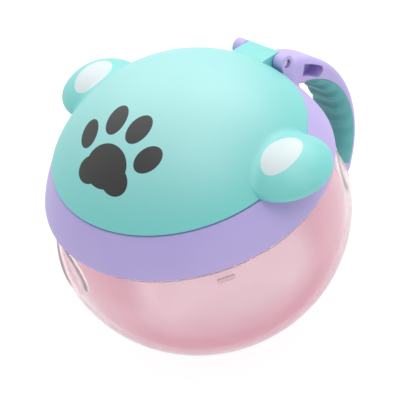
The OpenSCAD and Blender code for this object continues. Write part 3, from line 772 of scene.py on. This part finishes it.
def root_shape(x, y, z):
    """The bar's root: it widens to the posts in the hollow curve blend - root of (blend squared - d
    squared), below its outer edge only. The pockets sink in, with steep walls, where the distance to
    the slot's outline is negative. Last, the root keeps a hair under the collar's top."""
    r = np.hypot(y - ARC_Y, z - ARC_Z)
    a = np.degrees(np.arctan2(z - ARC_Z, y - ARC_Y))
    d = np.clip(PIN_Y + KNUCKLE_R + POST_BLEND_R - y, 0, POST_BLEND_R)
    wide = (POST_BLEND_R - np.sqrt(POST_BLEND_R ** 2 - d ** 2)) * (a > 50)
    wide = wide * (1 - step_up(r, HANDLE_R - HANDLE_EDGE - 0.1 * MM, HANDLE_R - HANDLE_EDGE + 0.3 * MM))
    along = np.radians(a - POCKET_LOW_A) * POCKET_MID_R
    length = np.radians(POCKET_HIGH_A - POCKET_LOW_A) * POCKET_MID_R
    up = r - POCKET_MID_R
    round_end = np.where(along < 0, np.hypot(along, up), np.abs(up)) - POCKET_H / 2
    outside = np.maximum(round_end, along - length)
    sunk = (1 - step_up(outside, -0.22 * MM, 0.02 * MM)) * POCKET_DEPTH
    wide = wide - np.where(np.abs(x) > HANDLE_HALF * 0.8, sunk, 0)
    x = x + np.sign(x) * wide * np.clip(np.abs(x) / HANDLE_HALF, 0, 1)
    x, y, z = rest_on_collar(x, y, z)
    return x, y, np.minimum(z, COLLAR_TOP_Z - 0.03 * MM)


handle_a = np.unique(np.concatenate([
    even(HANDLE_END, GRIP_LOW_A, 0.5), GRIP_LOW_A + np.array([-0.03, 0.03]),
    even(GRIP_LOW_A, POCKET_LOW_A - 4, 1), even(POCKET_LOW_A - 4, POCKET_HIGH_A + 0.6, 0.16),
    GRIP_HIGH_A + np.array([-0.03, 0.03]), even(POCKET_HIGH_A + 0.6, ROOT_A, 0.4)]))
by_grip = (handle_a > GRIP_LOW_A) & (handle_a < GRIP_HIGH_A)
spine_in_r = np.where(by_grip, to_boundary(np.radians(handle_a)), HANDLE_IN_R)
spine_in_edge = np.where(by_grip, 0.35 * MM, np.where(handle_a < 0, HANDLE_EDGE, 0.8 * MM))
bar_x, bar_r = half_ring(HANDLE_R + 0 * handle_a, spine_in_r, HANDLE_HALF, HANDLE_EDGE, spine_in_edge, 22)
handle = whole_bar("handle_spine", "top", bar_x, bar_r, np.radians(handle_a), root_shape)
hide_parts("handle")

tip_half = (HANDLE_R - HANDLE_IN_R) / 2
tip_mid = HANDLE_IN_R + tip_half
tip_w = HANDLE_HALF - 0.02 * MM
wheel = rounded([(-tip_w, 0), (-tip_w, tip_half), (tip_w, tip_half), (tip_w, 0)],
                [0, HANDLE_EDGE, HANDLE_EDGE, 0], 12)
t = np.radians(np.linspace(0, 360, 73))
t[-1] = 0
end_a = np.radians(HANDLE_END)
wheel_grid = np.stack([wheel[:, :1] + 0 * t,
                       ARC_Y + tip_mid * np.cos(end_a) + wheel[:, 1:] * np.cos(t),
                       ARC_Z + tip_mid * np.sin(end_a) + wheel[:, 1:] * np.sin(t)], -1)
handle_tip = skin("handle_tip", "top", wheel_grid)

post_path = np.vstack([arc((PIN_Y, PIN_Z), KNUCKLE_R, 0, 180, 25),
                       refined(np.array([(PIN_Y - KNUCKLE_R, PIN_Z), (PIN_Y - KNUCKLE_R, PIN_Z - POST_ROOT),
                                         (PIN_Y + KNUCKLE_R, PIN_Z - POST_ROOT), (PIN_Y + KNUCKLE_R, PIN_Z)]),
                               0.8 * MM)[1:]])
posts = []
for side in (1, -1):
    post_grid = carried_across(post_path, np.array([PIN_Y, PIN_Z]), side * POST_IN_X, side * POST_OUT_X,
                               0.35 * MM, (PIN_HOLE_R, PIN_HOLE))
    post_grid = np.stack(rest_on_collar(*np.moveaxis(post_grid, -1, 0)), -1)
    posts.append(skin("hinge_post_right" if side > 0 else "hinge_post_left", "top", post_grid))
for piece in (handle, handle_tip, *posts):
    dress(piece, lilac)


# --- Grip ---------------------------------------------------------------------------------
# The soft grip fills the hollow of the handle's inner side. Its long edges are round, and seven
# shallow grooves for the fingers run across it and fade on its sides.

GRIP_HALF = 7.8 * MM
GRIP_EDGE = 4.8 * MM
GROOVE_R = 3 * MM
GROOVE_DEPTH = 0.7 * MM
GROOVES = 7
GROOVE_MARGIN = 12

grip_a = even(GRIP_LOW_A + 0.1, GRIP_HIGH_A - 0.1, 0.4)
groove_a = GRIP_LOW_A + np.arange(1, GROOVES + 1) * (GRIP_HIGH_A - GRIP_LOW_A - GROOVE_MARGIN) / GROOVES
off = np.radians(np.abs(grip_a[:, None] - groove_a).min(axis=1))
groove_c = HANDLE_IN_R - GROOVE_R + GROOVE_DEPTH
sag = groove_c * np.cos(off) + np.sqrt(np.clip(GROOVE_R ** 2 - (groove_c * np.sin(off)) ** 2, 0, None))
sag = np.where(groove_c * np.sin(off) < GROOVE_R, sag, 0)
dip = larger(sag - HANDLE_IN_R, 0, 0.25 * MM)[:, None]
dip = dip - dip.min()
grip_top = to_boundary(np.radians(grip_a))[:, None] - 0.04 * MM


def grip_section():
    """Half rings of the grip, from the middle of its outer face to the middle of its inner one. Down its
    side the half width is half - edge + root of (edge squared - (edge - height above the inner face)
    squared). A groove draws in the inner face by its dip, and the side by less towards the spine."""
    height = (grip_top - HANDLE_IN_R) * (1 - np.sin(np.radians(np.linspace(0, 90, 30))))
    rise = np.clip(GRIP_EDGE - height, 0, None)
    x = GRIP_HALF - GRIP_EDGE + np.sqrt(GRIP_EDGE ** 2 - rise ** 2)
    fade = 1 - step_up(height / (grip_top - HANDLE_IN_R), 0.2, 0.95)
    x = x - dip * 0.8 * fade * (height > 0)
    across, under = np.linspace(0, 1, 6)[:-1], np.linspace(1, 0, 6)[1:]
    inner = HANDLE_IN_R + dip
    r = inner + height * (grip_top - inner) / (grip_top - HANDLE_IN_R)
    return (np.hstack([x[:, :1] * across, x, x[:, -1:] * under]),
            np.hstack([r[:, :1] + 0 * across, r, r[:, -1:] + 0 * under]))


grip_x, grip_r = grip_section()
grip = whole_bar("grip", "top", grip_x, grip_r, np.radians(grip_a), lambda x, y, z: (x, y, z))
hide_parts("handle_grip")

rubber = Finish("deep_teal_rubber", paint(90, 172, 174), Roughness=0.62)
where = rubber.place()
cloud = rubber.noise(where, 60.0).clamped(0.3, 0.7)
rubber.feed(Base_Color=rubber.mix(cloud, paint(93, 176, 177), paint(86, 167, 170)))
rubber.rough(where, 300.0, 0.12, 0.56)
rubber.grain(where, 2200.0, 0.03 * MM)
dress(grip, rubber)


# --- Hinge pin ----------------------------------------------------------------------------
# The pin through posts and knuckle is plain ground steel; its ends lie in the posts' outer faces.

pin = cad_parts["hinge_pin"]
steel = Finish("pin_steel", paint(196, 198, 204), Metallic=1.0, Roughness=0.3)
steel.rough(steel.place(), 800.0, 0.15, 0.24)
dress(pin, steel)


# --- Flaps and their rings ----------------------------------------------------------------
# A milky ring holds six soft flaps in the mouth, which spread apart for a small hand.

FLAPS = 6

soft = Finish("milky_flap", paint(238, 238, 242), Roughness=0.5, Subsurface_Weight=0.2,
              Subsurface_Scale=0.003)
where = soft.place()
soft.rough(where, 400.0, 0.15, 0.42)
soft.grain(where, 1500.0, 0.02 * MM)
for name in ["flap_" + str(k + 1) for k in range(FLAPS)] + ["flap_ring"]:
    dress(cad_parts[name], soft)
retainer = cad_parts["flap_retainer"]
milky = Finish("milky_plastic", paint(236, 236, 240), Roughness=0.4)
milky.rough(milky.place(), 400.0, 0.1, 0.35)
dress(retainer, milky)


# --- Setting ------------------------------------------------------------------------------
# A pale floor and soft studio light from above and behind, and the camera of the photograph.

FLOOR_HALF = 3
AIM = (0, 0, 0.05)
CAMERA_PLACE = (0.31646, -0.22774, 0.40193)
CAMERA_TURN = ((0.7263, -0.3374, 0.5989), (0.6479, 0.6271, -0.4324), (-0.2297, 0.7021, 0.6741))

floor_mesh = bpy.data.meshes.new("floor")
corners = [(x * FLOOR_HALF, y * FLOOR_HALF, 0) for x, y in ((-1, -1), (1, -1), (1, 1), (-1, 1))]
floor_mesh.from_pydata(corners, [], [(0, 1, 2, 3)])
floor = bpy.data.objects.new("floor", floor_mesh)
bpy.context.scene.collection.objects.link(floor)
floor.location.z = -0.0002
dress(floor, Finish("floor_white", (0.2, 0.2, 0.2), Roughness=0.9, Emission_Color=(1, 1, 1),
                    Emission_Strength=0.9))

world = bpy.data.worlds.new("studio")
world.use_nodes = True
world.node_tree.nodes["Background"].inputs["Color"].default_value = (0.98, 0.99, 1.0, 1)
world.node_tree.nodes["Background"].inputs["Strength"].default_value = 0.57
bpy.context.scene.world = world


def lamp(name, place, size, power):
    """A square soft light at a place, turned to face the object's middle."""
    light = bpy.data.lights.new(name, "AREA")
    light.size, light.energy = size, power
    piece = bpy.data.objects.new(name, light)
    piece.location = place
    piece.rotation_euler = (Vector(AIM) - Vector(place)).to_track_quat("-Z", "Y").to_euler()
    bpy.context.scene.collection.objects.link(piece)


lamp("right_light", (0.42, 0, 0.96), 0.6, 2.3)
lamp("back_light", (0, 0.77, 0.69), 0.6, 2.6)
lamp("back_left_light", (-0.4, 0.4, 0.5), 0.8, 1.8)
lamp("left_light", (-0.55, 0, 0.5), 0.8, 0.8)
lamp("top_light", (0, 0.1, 0.42), 0.3, 0.2)

camera_data = bpy.data.cameras.new("camera")
camera_data.lens = 136.3
camera_data.sensor_width = 36
camera_data.clip_end = 20
camera = bpy.data.objects.new("camera", camera_data)
camera.matrix_world = Matrix.Translation(CAMERA_PLACE) @ Matrix(CAMERA_TURN).to_4x4()
bpy.context.scene.collection.objects.link(camera)
bpy.context.scene.camera = camera
bpy.context.scene.view_settings.view_transform = "Standard"
